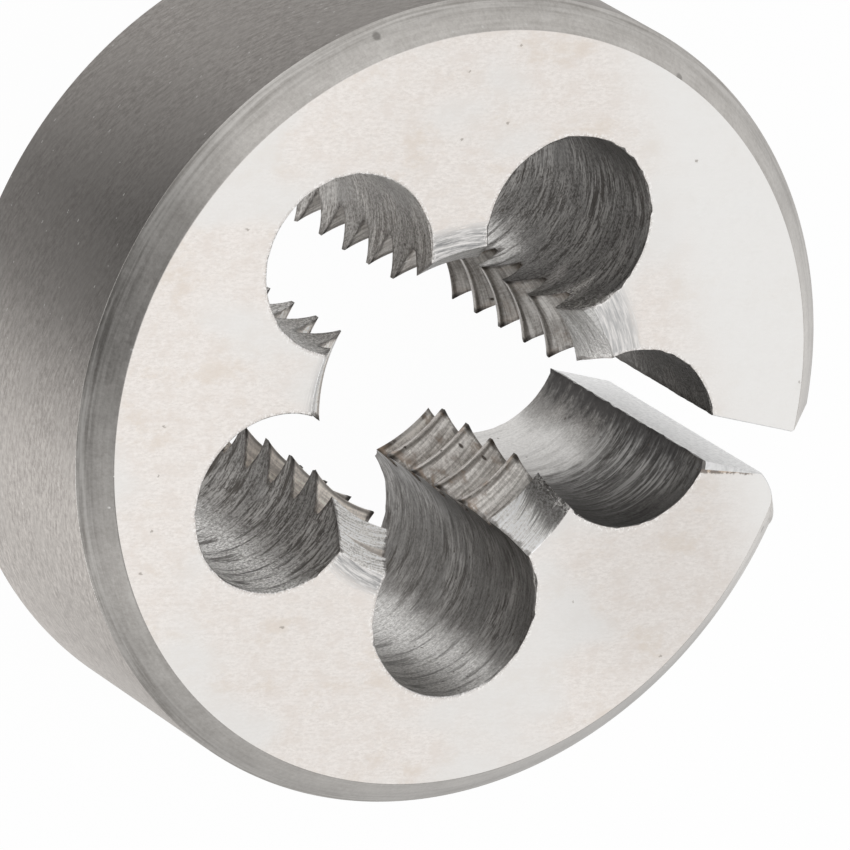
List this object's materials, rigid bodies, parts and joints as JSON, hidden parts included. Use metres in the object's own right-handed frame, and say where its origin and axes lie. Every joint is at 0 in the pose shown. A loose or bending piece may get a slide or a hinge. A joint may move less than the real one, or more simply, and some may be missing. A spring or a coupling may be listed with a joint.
{
  "type": "round threading die",
  "caption": "Round steel threading die: a thick disc with chip holes around a toothed threaded bore, split by an adjusting slot with a V-shaped mouth at the rim.",
  "frame": {"origin": "centre of the rim's circle, on the back face that the die lies on", "axes": "+Z along the thread axis, out of the front face; +X from the axis towards the adjusting slot; +Y completes the right-handed frame"},
  "size_m": [0.0299, 0.03, 0.011],
  "materials": {
    "tool_steel": "bare hardened tool steel, ground bright on the faces and rim, with darker drilled and cut walls"
  },
  "bodies": {
    "root": {"threading_die": "tool_steel"}
  },
  "joints": []
}
